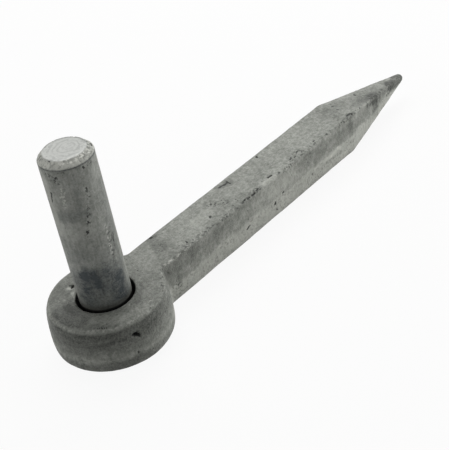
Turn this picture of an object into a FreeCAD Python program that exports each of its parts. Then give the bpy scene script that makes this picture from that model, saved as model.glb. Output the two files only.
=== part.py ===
import FreeCAD, Part
import os
import Sketcher

# Gate hinge pin to drive: a square-shanked spike with a round eye, and a round pin fixed upright in the eye.
# Millimetres. The origin is on the pin's axis, level with the eye's top face.
# +X runs along the shank to the point and +Z runs up the pin.

SIZES = {
    "pin_diameter": 20.0,
    "pin_height": 62.5,
    "pin_chamfer_width": 2.3,
    "pin_chamfer_height": 2.2,
    "pin_edge_radius": 0.6,
    "tail_end_diameter": 18.8,
    "tail_inset": 0.5,
    "eye_height": 20.0,
    "eye_diameter": 47.0,
    "eye_top_draw": 1.2,
    "eye_bottom_draw": 0.5,
    "hole_mouth_diameter": 22.6,
    "hole_mouth_chamfer": 0.5,
    "hole_flare_depth": 9.0,
    "weld_depth": 3.6,
    "weld_width": 3.4,
    "weld_recess": 0.6,
    "shank_width": 19.0,
    "shank_length": 144.0,
    "point_length": 52.5,
    "tip_width": 3.4,
    "tip_corner_radius": 1.3,
    "nose_chamfer": 0.8,
    "corner_radius": 3.0,
    "upper_edge_radius": 1.0,
    "lower_edge_radius": 3.0,
}

# Parts of a sketch's element: its start, its end, and the sketch's own origin.
START = 1
END = 2
ORIGIN = -1
# Closeness for telling one edge from another.
NEAR = 0.02
FULL_TURN = 360.0
# How far the middle of a quarter round stands in from its two sides, as a share of its radius.
ROUND_INSET = "(1 - cos(45 deg))"

doc = FreeCAD.newDocument("gate_hinge_pin")
sheet = doc.addObject("Spreadsheet::Sheet", "sizes")
for row, (word, value) in enumerate(SIZES.items(), start=1):
    sheet.set(f"A{row}", word)
    sheet.set(f"B{row}", str(value))
    sheet.setAlias(f"B{row}", word)
doc.recompute()


def cell(word):
    return f"sizes.{word}"


def size(word):
    return float(sheet.get(word))


def add_body(node):
    body = doc.addObject("PartDesign::Body", node)
    body.Label = node
    return body


def add_sketch(body, name, role):
    sketch = body.newObject("Sketcher::SketchObject", name)
    plane = next(item for item in body.Origin.OriginFeatures if item.Role == role)
    sketch.AttachmentSupport = [(plane, "")]
    sketch.MapMode = "FlatFace"
    return sketch


def value_of(expression):
    """The present value of an expression made of the sheet's cells."""
    probe = doc.addObject("App::FeaturePython", "probe")
    probe.addProperty("App::PropertyFloat", "Number")
    probe.setExpression("Number", expression)
    doc.recompute()
    number = probe.Number
    doc.removeObject(probe.Name)
    return number


def hold(sketch, element, end, name, corner):
    """Tie one end of a sketch element to a pair of expressions, measured from the sketch's origin."""
    for kind, letter, expression in zip(("DistanceX", "DistanceY"), "xy", corner):
        distance = Sketcher.Constraint(kind, ORIGIN, START, element, end, value_of(expression))
        index = sketch.addConstraint(distance)
        sketch.renameConstraint(index, f"{name}_{letter}")
        sketch.setExpression(f"Constraints.{name}_{letter}", expression)


def outline(sketch, corners, bulges=None):
    """Draw a closed outline through named corners. A side with a bulge curves through that point."""
    bulges = bulges or {}
    names = list(corners)
    spots = {name: FreeCAD.Vector(*[value_of(item) for item in corners[name]], 0) for name in names}
    count = len(names)
    elements = []
    for index, name in enumerate(names):
        start, end = spots[name], spots[names[(index + 1) % count]]
        if name in bulges:
            middle = FreeCAD.Vector(*[value_of(item) for item in bulges[name]], 0)
            elements.append(sketch.addGeometry(Part.Arc(start, middle, end), False))
        else:
            elements.append(sketch.addGeometry(Part.LineSegment(start, end), False))
    ends = {}
    for index, name in enumerate(names):
        geometry = sketch.Geometry[elements[index]]
        turned = geometry.StartPoint.distanceToPoint(spots[name]) > NEAR
        ends[index] = (END, START) if turned else (START, END)
    for index, name in enumerate(names):
        after = (index + 1) % count
        joint = (elements[index], ends[index][1], elements[after], ends[after][0])
        sketch.addConstraint(Sketcher.Constraint("Coincident", *joint))
    for index, name in enumerate(names):
        hold(sketch, elements[index], ends[index][0], name, corners[name])
        if name in bulges:
            middle = FreeCAD.Vector(*[value_of(item) for item in bulges[name]], 0)
            point = sketch.addGeometry(Part.Point(middle), True)
            hold(sketch, point, START, f"{name}_bulge", bulges[name])
            sketch.addConstraint(Sketcher.Constraint("PointOnObject", point, START, elements[index]))


def section(sketch, half_width, top, bottom, upper_radius, lower_radius):
    """Draw the shank's section across its length: a rectangle with its upper and lower corners rounded."""
    corners = {}
    bulges = {}
    rounds = (("lower_near", "-", bottom, "+", lower_radius), ("lower_far", "", bottom, "+", lower_radius),
              ("upper_far", "", top, "-", upper_radius), ("upper_near", "-", top, "-", upper_radius))
    for word, side, height, inward, radius in rounds:
        on_side = (f"{side}({half_width})", f"{height} {inward} {radius}")
        on_level = (f"{side}({half_width} - {radius})", height)
        side_first = word in ("lower_near", "upper_far")
        corners[f"{word}_start"] = on_side if side_first else on_level
        corners[f"{word}_end"] = on_level if side_first else on_side
        inset = f"{radius} * {ROUND_INSET}"
        bulges[f"{word}_start"] = (f"{side}({half_width} - {inset})", f"{height} {inward} {inset}")
    outline(sketch, corners, bulges)


def turn(body, kind, name, sketch):
    """Turn an outline a full circle about the pin's axis, adding or cutting."""
    feature = body.newObject(kind, name)
    feature.Profile = sketch
    feature.ReferenceAxis = (sketch, ["V_Axis"])
    feature.Angle = FULL_TURN


def ease_edges(body, kind, name, wanted, measure, word):
    """Ease the edges of the body so far that a rule picks out, by a round or a chamfer."""
    doc.recompute()
    base = body.Tip
    picked = [f"Edge{index}" for index, edge in enumerate(base.Shape.Edges, start=1) if wanted(edge)]
    if not picked:
        raise RuntimeError(f"{name} found no edges")
    feature = body.newObject(kind, name)
    feature.Base = (base, picked)
    feature.setExpression(measure, cell(word))
    doc.recompute()


def round_edges(body, name, wanted, radius_word):
    ease_edges(body, "PartDesign::Fillet", name, wanted, "Radius", radius_word)


def chamfer_edges(body, name, wanted, width_word):
    ease_edges(body, "PartDesign::Chamfer", name, wanted, "Size", width_word)


def level(edge, height):
    """An edge that lies flat at a height."""
    return abs(edge.BoundBox.ZMin - height) < NEAR and abs(edge.BoundBox.ZMax - height) < NEAR


def at_point_base(edge):
    """An edge across the shank where the point starts."""
    return abs(edge.BoundBox.XMin - POINT_START) < NEAR and abs(edge.BoundBox.XMax - POINT_START) < NEAR


def meets_eye(edge):
    """The upright edges where the shank's flat sides meet the eye's wall."""
    box = edge.BoundBox
    on_side = abs(max(abs(box.YMin), abs(box.YMax)) - size("shank_width") / 2) < NEAR
    upright = box.YLength < NEAR and box.ZLength > size("eye_height") / 2
    return on_side and upright and box.XMax < size("eye_diameter") / 2


def outer_edge(edge, height):
    """The outer edges of the top or bottom: the eye's rim, its inside corners and the shank's long edges."""
    return level(edge, height) and not at_point_base(edge)


def at_nose(edge):
    return edge.BoundBox.XMin > POINT_START + size("point_length") - NEAR


POINT_START = size("shank_length")

# Lengths along the tail, and the tail's radius at a depth below the eye's top face.
PIN_RADIUS = f"{cell('pin_diameter')} / 2"
TAIL_END_RADIUS = f"{cell('tail_end_diameter')} / 2"
EYE_HEIGHT = cell("eye_height")
TAIL_LENGTH = f"({EYE_HEIGHT} - {cell('tail_inset')})"
SEAT_END = f"({EYE_HEIGHT} - {cell('weld_depth')})"


def tail_radius(depth):
    return f"({PIN_RADIUS} - ({PIN_RADIUS} - {TAIL_END_RADIUS}) * {depth} / {TAIL_LENGTH})"


# The round pin: a chamfered top, a straight wall for the gate's strap, and a tail drawn to a slow taper.
pin = add_body("hinge_pin")
pin_sketch = add_sketch(pin, "pin_outline", "XZ_Plane")
outline(pin_sketch, {
    "tail_centre": ("0", f"-{TAIL_LENGTH}"),
    "tail_end": (TAIL_END_RADIUS, f"-{TAIL_LENGTH}"),
    "wall_foot": (PIN_RADIUS, "0"),
    "wall_head": (PIN_RADIUS, f"{cell('pin_height')} - {cell('pin_chamfer_height')}"),
    "top_edge": (f"{PIN_RADIUS} - {cell('pin_chamfer_width')}", cell("pin_height")),
    "top_centre": ("0", cell("pin_height")),
})
turn(pin, "PartDesign::Revolution", "pin_turned", pin_sketch)
chamfer_foot = size("pin_height") - size("pin_chamfer_height")
round_edges(pin, "pin_softened", lambda edge: level(edge, chamfer_foot) or level(edge, size("pin_height")),
            "pin_edge_radius")

# The drive spike's eye: a barrel-sided disc, widest at half its height and drawn in above and below.
EYE_RADIUS = f"{cell('eye_diameter')} / 2"
spike = add_body("drive_spike")
eye_sketch = add_sketch(spike, "eye_outline", "XZ_Plane")
outline(eye_sketch, {
    "base_centre": ("0", f"-{EYE_HEIGHT}"),
    "base_rim": (f"{EYE_RADIUS} - {cell('eye_bottom_draw')}", f"-{EYE_HEIGHT}"),
    "top_rim": (f"{EYE_RADIUS} - {cell('eye_top_draw')}", "0"),
    "top_centre": ("0", "0"),
}, {"base_rim": (EYE_RADIUS, f"-{EYE_HEIGHT} / 2")})
turn(spike, "PartDesign::Revolution", "eye_disc", eye_sketch)

# The shank: a square bar flush with the eye above and below.
HALF_WIDTH = f"{cell('shank_width')} / 2"
POINT_BASE = cell("shank_length")
side_sketch = add_sketch(spike, "shank_side", "XZ_Plane")
outline(side_sketch, {
    "upper_root": ("0", "0"),
    "upper_base": (POINT_BASE, "0"),
    "lower_base": (POINT_BASE, f"-{EYE_HEIGHT}"),
    "lower_root": ("0", f"-{EYE_HEIGHT}"),
})
bar = spike.newObject("PartDesign::Pad", "shank_bar")
bar.Profile = side_sketch
bar.SideType = "Symmetric"
bar.setExpression("Length", cell("shank_width"))

# Inside corners where the shank's sides run into the eye, then the outer edges, which are rounder below.
UPPER_RADIUS = cell("upper_edge_radius")
LOWER_RADIUS = cell("lower_edge_radius")
round_edges(spike, "eye_corners", meets_eye, "corner_radius")
round_edges(spike, "upper_edges", lambda edge: outer_edge(edge, 0.0), "upper_edge_radius")
round_edges(spike, "lower_edges", lambda edge: outer_edge(edge, -size("eye_height")), "lower_edge_radius")

# The four-sided point: the shank's section drawn down to a small blunt tip on the bar's own axis.
HALF_TIP = f"{cell('tip_width')} / 2"
TIP_RADIUS = cell("tip_corner_radius")
base_sketch = add_sketch(spike, "point_base", "YZ_Plane")
base_sketch.setExpression("AttachmentOffset.Base.z", POINT_BASE)
section(base_sketch, HALF_WIDTH, "0", f"-{EYE_HEIGHT}", UPPER_RADIUS, LOWER_RADIUS)
tip_sketch = add_sketch(spike, "point_tip", "YZ_Plane")
tip_sketch.setExpression("AttachmentOffset.Base.z", f"{POINT_BASE} + {cell('point_length')}")
TIP_MIDDLE = f"-{EYE_HEIGHT} / 2"
TIP_TOP = f"{TIP_MIDDLE} + {HALF_TIP}"
TIP_BOTTOM = f"{TIP_MIDDLE} - {HALF_TIP}"
section(tip_sketch, HALF_TIP, TIP_TOP, TIP_BOTTOM, TIP_RADIUS, TIP_RADIUS)
point = spike.newObject("PartDesign::AdditiveLoft", "four_sided_point")
point.Profile = base_sketch
point.Sections = [tip_sketch]
point.Ruled = True
chamfer_edges(spike, "blunt_nose", at_nose, "nose_chamfer")

# The tapered hole: eased and flared at its mouth, close round the tail below, and opened underneath
# for the weld.
hole_sketch = add_sketch(spike, "hole_outline", "XZ_Plane")
WELD_OUTSIDE = f"({tail_radius(SEAT_END)} + {cell('weld_width')})"
MOUTH_RADIUS = f"{cell('hole_mouth_diameter')} / 2"
MOUTH_CHAMFER = cell("hole_mouth_chamfer")
outline(hole_sketch, {
    "mouth_centre": ("0", "0"),
    "mouth_rim": (f"{MOUTH_RADIUS} + {MOUTH_CHAMFER}", "0"),
    "mouth": (MOUTH_RADIUS, f"-{MOUTH_CHAMFER}"),
    "seat_start": (tail_radius(cell("hole_flare_depth")), f"-{cell('hole_flare_depth')}"),
    "seat_end": (tail_radius(SEAT_END), f"-{SEAT_END}"),
    "weld_outside": (WELD_OUTSIDE, f"-{EYE_HEIGHT}"),
    "foot_centre": ("0", f"-{EYE_HEIGHT}"),
})
turn(spike, "PartDesign::Groove", "tapered_hole", hole_sketch)

# The weld that holds the pin's tail: a ring round it underneath, dressed flat just inside the underside.
weld = add_body("pin_weld")
weld_sketch = add_sketch(weld, "weld_outline", "XZ_Plane")
WELD_FACE = f"({EYE_HEIGHT} - {cell('weld_recess')})"
WELD_SHARE = f"({WELD_FACE} - {SEAT_END}) / {cell('weld_depth')}"
outline(weld_sketch, {
    "root": (tail_radius(SEAT_END), f"-{SEAT_END}"),
    "inner_toe": (tail_radius(WELD_FACE), f"-{WELD_FACE}"),
    "outer_toe": (f"{tail_radius(SEAT_END)} + {cell('weld_width')} * {WELD_SHARE}", f"-{WELD_FACE}"),
})
turn(weld, "PartDesign::Revolution", "weld_ring", weld_sketch)

doc.recompute()
for item in doc.Objects:
    if "Invalid" in item.State or "Error" in item.State:
        raise RuntimeError(f"{item.Name} did not build: {item.State}")

os.makedirs("parts", exist_ok=True)
for node in (spike, pin, weld):
    node.Placement = FreeCAD.Placement()
    shape = node.Shape
    if shape.isNull() or not shape.isValid():
        raise RuntimeError(f"{node.Label} has no valid shape")
    shape.exportStep(f"parts/{node.Label}.step")
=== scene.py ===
import math

import bpy
import numpy as np
from mathutils import Euler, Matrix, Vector, noise
from mathutils.bvhtree import BVHTree


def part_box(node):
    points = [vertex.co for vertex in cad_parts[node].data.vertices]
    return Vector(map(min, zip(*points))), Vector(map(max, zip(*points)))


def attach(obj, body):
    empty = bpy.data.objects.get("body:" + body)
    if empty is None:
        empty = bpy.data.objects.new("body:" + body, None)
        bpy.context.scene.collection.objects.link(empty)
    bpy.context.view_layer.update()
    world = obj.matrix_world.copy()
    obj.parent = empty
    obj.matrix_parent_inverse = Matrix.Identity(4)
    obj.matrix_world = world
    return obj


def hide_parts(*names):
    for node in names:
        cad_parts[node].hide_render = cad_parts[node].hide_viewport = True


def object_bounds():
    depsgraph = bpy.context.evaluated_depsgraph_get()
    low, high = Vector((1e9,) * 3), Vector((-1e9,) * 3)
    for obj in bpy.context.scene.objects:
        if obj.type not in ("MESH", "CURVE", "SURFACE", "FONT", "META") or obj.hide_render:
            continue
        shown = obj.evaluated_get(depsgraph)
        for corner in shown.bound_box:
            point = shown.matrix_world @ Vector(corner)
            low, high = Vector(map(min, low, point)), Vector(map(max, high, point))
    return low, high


# The looks of a galvanised gate hinge pin, worked on its CAD solids. Metres, in the part's own frame.
# Sizes of marks and of the surface's unevenness are in millimetres.

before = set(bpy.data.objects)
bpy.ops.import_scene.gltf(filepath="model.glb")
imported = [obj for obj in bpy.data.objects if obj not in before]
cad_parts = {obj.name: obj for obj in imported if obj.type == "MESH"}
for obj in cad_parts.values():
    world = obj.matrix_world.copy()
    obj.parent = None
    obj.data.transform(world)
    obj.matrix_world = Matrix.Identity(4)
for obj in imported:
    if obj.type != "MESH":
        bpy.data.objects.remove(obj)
cad_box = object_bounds()

MM = 0.001
SPIKE_NODE = "drive_spike"
PIN_NODE = "hinge_pin"
WELD_NODE = "pin_weld"
# Sizes from the CAD nodes' boxes, in mm.
PIN_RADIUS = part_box(PIN_NODE)[1].x / MM
PIN_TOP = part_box(PIN_NODE)[1].z / MM
EYE_RADIUS = -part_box(SPIKE_NODE)[0].x / MM
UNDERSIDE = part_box(SPIKE_NODE)[0].z / MM

# The camera, fitted to the photograph: its place, its turn, and its focal length in the photograph's pixels.
PHOTO_WIDTH = 449
PHOTO_HEIGHT = 450
CAMERA_PLACE = Vector((-179.95, -262.26, 240.23)) * MM
CAMERA_TURN = Euler([math.radians(angle) for angle in (54.393, 9.003, -49.494)])
FOCAL_PIXELS = 1076.25
SENSOR_HEIGHT = 36.0
CLIP_START = 0.01

# Mesh spacing of the pieces, in mm.
SPIKE_SPACING = 0.5
PIN_SPACING = 0.36
WELD_SPACING = 0.25

# Marks seen in the photograph. Each lies between two of its pixels and has a width in mm.
# Pits also have a depth in mm. Patches have a strength instead: above 0 is dull and below 0 is pale.
SPIKE_PITS = {
    "tear_in_eye_wall": ((133.5, 335.5), (136.5, 333.5), 1.3, 2.0),
    "tear_at_right": ((136.5, 333.5), (139.5, 335.5), 1.3, 2.0),
    "floor_of_tear": ((134, 336), (139, 336), 0.8, 1.0),
    "spot_under_tear": ((139, 352), (139, 353), 1.1, 0.3),
    "chip_beside_pin": ((73, 285), (72, 287), 1.2, 1.8),
    "hook_of_chip": ((69, 285.5), (72, 285), 0.8, 0.2),
    "line_on_eye_top": ((97, 328), (107, 327), 0.6, 0.05),
    "scratch_on_top": ((219, 187), (226, 183), 1.6, 0.3),
    "second_scratch": ((226, 181), (230, 183), 1.2, 0.2),
    "speck_on_top": ((210, 216), (210, 217), 1.3, 0.3),
    "speck_above": ((211, 203), (211, 204), 0.85, 0.15),
    "speck_beside": ((186, 241), (187, 242), 1.1, 0.25),
    "pit_at_far_edge": ((256, 156), (257, 157), 1.3, 0.3),
    "pit_at_near_edge": ((150, 238), (152, 237), 1.4, 0.3),
    "start_of_cluster": ((243, 201), (245, 199), 1.2, 0.3),
    "middle_of_cluster": ((248, 198), (250, 197), 1.3, 0.4),
    "spot_in_cluster": ((253, 195), (255, 193), 1.8, 0.5),
    "end_of_cluster": ((256, 190), (258, 188), 1.1, 0.3),
    "upper_cluster_low": ((289, 164), (292, 164), 0.7, 0.1),
    "upper_cluster_left": ((290, 159), (291, 157), 0.75, 0.15),
    "upper_cluster_right": ((294, 157), (296, 155), 0.75, 0.15),
    "upper_cluster_high": ((296, 152), (298, 150), 0.65, 0.1),
    "nick_in_ridge": ((268, 177), (271, 175), 1.4, 0.5),
    "pit_past_cluster": ((313, 141), (314, 140), 1.0, 0.2),
    "speck_on_side": ((276, 203), (276, 204), 1.3, 0.3),
    "speck_below_it": ((277, 209), (278, 210), 0.75, 0.1),
    "speck_higher": ((283, 193), (284, 192), 1.1, 0.2),
    "speck_far": ((313, 174), (313, 175), 1.1, 0.2),
    "nick_on_side": ((247.5, 229.5), (250.5, 225.5), 1.0, 0.25),
    "pit_on_point": ((347, 115), (350, 113), 1.6, 0.5),
    "pit_beside": ((352, 113), (353, 114), 1.8, 0.5),
    "speck_on_point": ((332, 106), (333, 106), 1.4, 0.2),
    "second_speck_on_point": ((337, 109), (338, 109), 1.4, 0.2),
    "speck_at_point_edge": ((354, 94), (355, 95), 1.3, 0.2),
}
# Strips that are peppered with fine pits.
SPIKE_PITTED = {
    "ridge_near": ((184, 247), (206, 230), 2.6),
    "ridge_middle": ((206, 230), (236, 208), 3.0),
    "ridge_cluster": ((242, 201), (258, 189), 4.5),
    "ridge_far": ((280, 172), (291, 165), 3.0),
    "upper_cluster": ((288, 165), (297, 152), 6.0),
    "ridge_past_cluster": ((300, 154), (330, 131), 2.6),
    "corner_by_eye": ((162, 270), (163, 290), 3.0),
    "side_by_eye": ((176, 279), (181, 290), 5.0),
    "top_specks": ((207, 204), (224, 202), 6.0),
    "point_edge": ((340, 125), (360, 108), 2.6),
    "stain_line_on_point": ((377, 95), (375, 110), 2.6),
    "line_by_tip": ((386, 98), (391, 90), 2.4),
    "lower_wall": ((80, 361), (116, 362), 1.6),
}
# Strips with bright flecks of zinc; along the near ridge by the eye they are a painted highlight.
SPIKE_BRIGHT = {
    # Painted highlight: these two strips paint the near ridge's highlight by the eye.
    "ridge_end": ((163, 266), (178, 255), 2.0),
    "ridge_by_eye": ((178, 255), (206, 232), 1.6),
    "nick_edge": ((264, 182), (275, 176), 2.4),
    "crack_on_eye_top": ((56, 301), (68, 300), 1.4),
    "arc_on_eye_top": ((88, 330), (112, 329), 1.2),
    "arc_further_round": ((114, 328), (134, 319), 1.4),
    "arc_at_right": ((138, 315), (152, 298), 1.6),
    "line_low_on_wall_left": ((76, 356), (89, 361), 1.0),
    "line_low_on_wall": ((89, 361), (104, 362), 1.0),
    "line_low_on_wall_right": ((104, 362), (120, 359), 1.0),
    "spot_by_tip": ((383, 100), (387, 94), 2.4),
    "corner_by_eye": ((163, 270), (166, 300), 2.4),
    "line_low_on_side": ((186, 277), (200, 268), 1.2),
    "second_line_low": ((187, 280), (203, 270), 1.0),
    "drip_on_side": ((206, 256), (208, 262), 1.0),
    "second_drip": ((209, 254), (211, 260), 1.0),
}
SPIKE_PATCHES = {
    "eye_wall_right": ((150, 318), (160, 306), 8.0, 0.12),
    # Painted bounce light: the low front of the eye's wall is painted paler.
    "eye_wall_low": ((102, 357), (130, 352), 3.5, -0.20),
    "top_by_eye": ((152, 238), (161, 249), 6.0, 0.35),
    "side_by_eye": ((170, 269), (192, 252), 10.0, 0.24),
    "side_middle": ((192, 252), (238, 213), 8.0, 0.22),
    "side_drips": ((206, 246), (226, 230), 8.0, 0.20),
    "side_cluster": ((244, 204), (256, 196), 5.0, 0.20),
    "side_pale_middle": ((272, 193), (300, 171), 7.0, -0.20),
    "side_far": ((303, 165), (324, 148), 9.0, 0.32),
    "side_by_point": ((330, 146), (350, 127), 7.0, 0.25),
    "point_side": ((352, 128), (368, 110), 7.0, 0.20),
    "point_stain": ((374, 97), (376, 109), 7.0, 0.42),
    "point_stain_wide": ((358, 103), (378, 95), 7.0, 0.30),
    "point_top": ((330, 112), (372, 92), 14.0, 0.28),
    "point_top_by_tip": ((362, 98), (392, 85), 10.0, 0.12),
    "point_side_wide": ((346, 140), (372, 108), 12.0, 0.15),
    "stain_round_pit": ((346, 117), (354, 112), 4.0, 0.30),
    "tip": ((391, 84), (400, 77), 8.0, 0.80),
    "tip_stain": ((384, 91), (391, 84), 5.0, 0.28),
    "top_pale": ((196, 222), (206, 214), 8.0, -0.2),
    "top_middle": ((206, 214), (246, 178), 16.0, 0.10),
    "stain_round_scratch": ((219, 187), (229, 182), 5.0, 0.30),
    "pale_round_nick": ((264, 183), (275, 177), 3.5, -0.40),
    "run_on_side_low": ((315, 170), (322, 162), 1.6, -0.35),
    "run_on_side_middle": ((322, 162), (332, 156), 1.6, -0.35),
    "run_on_side_bend": ((332, 156), (338, 148), 1.6, -0.35),
    "run_on_side_high": ((338, 148), (354, 136), 1.6, -0.35),
    "run_on_side_branch": ((338, 148), (343, 149), 1.4, -0.30),
    "dull_under_run": ((326, 164), (342, 152), 1.8, 0.20),
    "eye_top_left": ((62, 312), (78, 321), 9.0, 0.22),
    # Painted light: these pale patches lighten the pin's cast shadow on the front and right of the eye's
    # top.
    "eye_top_front": ((98, 319), (120, 317), 8.0, -0.38),
    "eye_top_right": ((126, 319), (146, 306), 6.0, -0.32),
    # Painted shade: darker patches on the eye's top beside the pin's gap.
    "eye_top_by_hole": ((139, 284), (137, 300), 4.0, 0.25),
    "eye_top_left_of_hole": ((67, 303), (75, 312), 5.0, 0.20),
    # Painted shade: the dark crease under the rim at the left.
    "eye_rim_left": ((52, 316), (60, 326), 4.0, 0.25),
    "pale_floor_of_chip": ((68.5, 288), (70.5, 288), 1.6, -1.2),
    "pale_rim_of_gap": ((73, 293), (74.5, 297), 2.0, -0.8),
}
PIN_PITS = {
    "pit_under_chamfer": ((55, 179), (56, 178), 1.0, 0.2),
    "crack_at_left": ((51, 193), (52, 202), 0.9, 0.2),
    "pit_at_right_of_head": ((83, 167), (84, 168), 1.1, 0.2),
    "speck_at_right": ((86, 188), (87, 189), 0.8, 0.15),
    "pit_row_upper": ((87, 216), (88, 217), 0.8, 0.15),
    "pit_row_middle": ((88, 222), (89, 223), 0.8, 0.15),
    "pit_row_lower": ((87, 232), (88, 233), 1.2, 0.25),
    "line_at_right_edge": ((113, 232), (114, 241), 0.7, 0.1),
    "chamfer_pit": ((91, 143), (92, 145), 1.0, 0.15),
    "second_chamfer_pit": ((48, 160), (49, 161), 1.2, 0.2),
}
PIN_PITTED = {
    "right_of_middle": ((88, 186), (88, 238), 3.0),
    "left_head": ((44, 172), (58, 182), 4.0),
    "right_edge": ((108, 226), (116, 262), 4.0),
    "under_chamfer": ((60, 174), (90, 163), 3.0),
}
PIN_BRIGHT = {
    "streak": ((63, 190), (65, 207), 2.0),
    "second_streak": ((60, 190), (61, 198), 1.6),
    "right_flecks": ((106, 226), (112, 252), 2.0),
    "chamfer_front": ((62, 165), (86, 155), 3.4),
}
# Painted highlights: white glints that stand out along the inner edge of the chamfer.
PIN_GLINTS = {
    "front": ((60, 164), (70, 161), 3.0),
    "middle": ((70, 161), (80, 156), 3.2),
    "right": ((80, 156), (90, 150), 2.0),
}
PIN_PATCHES = {
    # A darker area on the lower front of the pin, with darker and paler spots in it.
    "low_patch": ((82, 283), (110, 278), 16.0, 0.60),
    "darker_in_low_patch": ((88, 276), (97, 284), 6.0, 0.20),
    "paler_in_low_patch": ((107, 278), (111, 288), 5.0, -0.20),
    "low_patch_lower": ((90, 296), (116, 291), 10.0, 0.25),
    "low_patch_left": ((86, 274), (98, 286), 9.0, 0.20),
    "low_patch_top": ((88, 274), (110, 270), 8.0, 0.30),
    "low_patch_right": ((119, 281), (124, 294), 11.0, 0.48),
    "low_patch_right_edge": ((122, 270), (124, 284), 4.0, 0.22),
    "dull_low_band": ((74, 258), (112, 250), 11.0, 0.26),
    "dull_band": ((62, 218), (84, 214), 6.0, 0.34),
    "dull_streak": ((76, 182), (80, 212), 4.0, 0.15),
    "pale_low_band": ((66, 236), (88, 232), 9.0, -0.12),
    # Painted light: the pin's left side is painted paler where light falls on it.
    "pale_left": ((46, 182), (60, 232), 6.0, -0.25),
    "pale_chamfer_left": ((46, 163), (60, 166), 4.0, -0.60),
    "pale_chamfer_front": ((60, 166), (76, 162), 4.0, -0.80),
    "dull_chamfer_right": ((86, 146), (88, 141), 3.0, 0.60),
    "dull_right": ((102, 186), (116, 240), 9.0, 0.22),
    "dull_low_left": ((78, 272), (83, 292), 8.0, 0.10),
    "dull_foot_left": ((82, 297), (88, 303), 6.0, 0.25),
    "dull_right_low": ((121, 260), (124, 277), 5.0, 0.30),
}

# Where a ray cast's answer has the place and the distance.
HIT_PLACE = 0
HIT_DISTANCE = 3
# Steps between the noise's axes, so that no two start at the same place.
NOISE_STEPS = (0.0, 3.7, 7.3)
# How firm the borders of pits and strips are, and how far patches spread past their width.
MARK_FIRMNESS = 1.5
PATCH_SPREAD = 1.1
# Noise has layers, each with a wavelength in mm, a place in the noise and a strength.
PIT_BORDER = ((1.3, 5.1, 0.5),)
PATCH_BORDER = ((5.0, 27.7, 1.0), (1.8, 3.3, 0.8))


def solid_tree(node):
    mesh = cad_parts[node].data
    corners = [vertex.co for vertex in mesh.vertices]
    return BVHTree.FromPolygons(corners, [face.vertices for face in mesh.polygons])


TREES = [solid_tree(node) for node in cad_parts]


def seen_at(pixel):
    """The point on the solids, in mm, that the photograph shows at a pixel."""
    across, down = pixel
    ray = Vector((across - PHOTO_WIDTH / 2, PHOTO_HEIGHT / 2 - down, -FOCAL_PIXELS))
    ray.rotate(CAMERA_TURN)
    hits = [tree.ray_cast(CAMERA_PLACE, ray.normalized()) for tree in TREES]
    hits = [hit for hit in hits if hit[HIT_PLACE] is not None]
    if not hits:
        raise ValueError(f"no solid is seen at {pixel}")
    nearest = min(hits, key=lambda hit: hit[HIT_DISTANCE])
    return np.array(nearest[HIT_PLACE]) / MM


def field(points, wavelength, place):
    """Smooth noise, from about -1 to 1, that changes over about the given length in mm."""
    start = Vector([place + step for step in NOISE_STEPS])
    return np.array([noise.noise(Vector(point) / wavelength + start) for point in points])


def unevenness(points, layers):
    """The sum of layers of noise, each with its own strength."""
    total = np.zeros(len(points))
    for wavelength, place, strength in layers:
        total = total + strength * field(points, wavelength, place)
    return total


def fade(value, start, full):
    """A smooth step of a value: 0 at the start and 1 at the full value, which may be the lower one."""
    share = np.clip((value - start) / (full - start), 0, 1)
    return share * share * (3 - 2 * share)


def band(value, middle, reach):
    """1 at the middle value, falling smoothly to 0 at the reach on both sides of it."""
    return fade(np.abs(value - middle), reach, 0)


def spots(points, wavelength, place, start, full):
    """Spots of noise: 0 where the noise is below the start, and 1 above the full value."""
    return fade(field(points, wavelength, place), start, full)


def along(points, first, last, width, firm=MARK_FIRMNESS):
    """1 on the line between two points, falling smoothly to 0 at half the width away from it.

    The firmer it is, the more of the width is at 1.
    """
    line = last - first
    share = np.clip((points - first) @ line / (line @ line), 0, 1)
    gap = np.linalg.norm(points - first - share[:, None] * line, axis=1)
    reach = width / 2
    return fade(gap, reach, reach * (1 - 1 / firm))


def dense_copy(node, name, spacing):
    """A new piece with the form of a CAD node and an even, fine mesh."""
    piece = bpy.data.objects.new(name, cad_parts[node].data.copy())
    bpy.context.scene.collection.objects.link(piece)
    remesh = piece.modifiers.new("even_mesh", "REMESH")
    remesh.mode = "VOXEL"
    remesh.voxel_size = spacing * MM
    graph = bpy.context.evaluated_depsgraph_get()
    mesh = bpy.data.meshes.new_from_object(piece.evaluated_get(graph))
    piece.modifiers.clear()
    piece.data = mesh
    mesh.materials.clear()
    mesh.name = name
    mesh.shade_smooth()
    return piece


def points_of(mesh):
    places = np.empty(len(mesh.vertices) * 3, np.float32)
    mesh.vertices.foreach_get("co", places)
    return places.reshape(-1, 3).astype(float) / MM


def normals_of(mesh):
    normals = np.empty(len(mesh.vertices) * 3, np.float32)
    mesh.vertex_normals.foreach_get("vector", normals)
    return normals.reshape(-1, 3).astype(float)


def neighbour_mean(mesh, values):
    """The mean of a value over each vertex's neighbours."""
    ends = np.empty(len(mesh.edges) * 2, np.int32)
    mesh.edges.foreach_get("vertices", ends)
    first, second = ends.reshape(-1, 2).T
    total = np.zeros_like(values)
    count = np.zeros(len(values))
    for here, there in ((first, second), (second, first)):
        np.add.at(total, here, values[there])
        np.add.at(count, here, 1)
    return total / (count if values.ndim == 1 else count[:, None])


def set_attributes(mesh, values_by_name):
    for name, values in values_by_name.items():
        attribute = mesh.attributes.new(name, "FLOAT", "POINT")
        attribute.data.foreach_set("value", values.astype(np.float32))


def press(piece, node, points, normals, sink):
    """Move the surface inward by a depth in mm, and keep it inside its solid's box."""
    low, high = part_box(node)
    moved = (points - normals * np.clip(sink, 0, None)[:, None]) * MM
    moved = np.clip(moved, np.array(low), np.array(high))
    piece.data.vertices.foreach_set("co", moved.astype(np.float32).ravel())
    piece.data.update()


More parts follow.
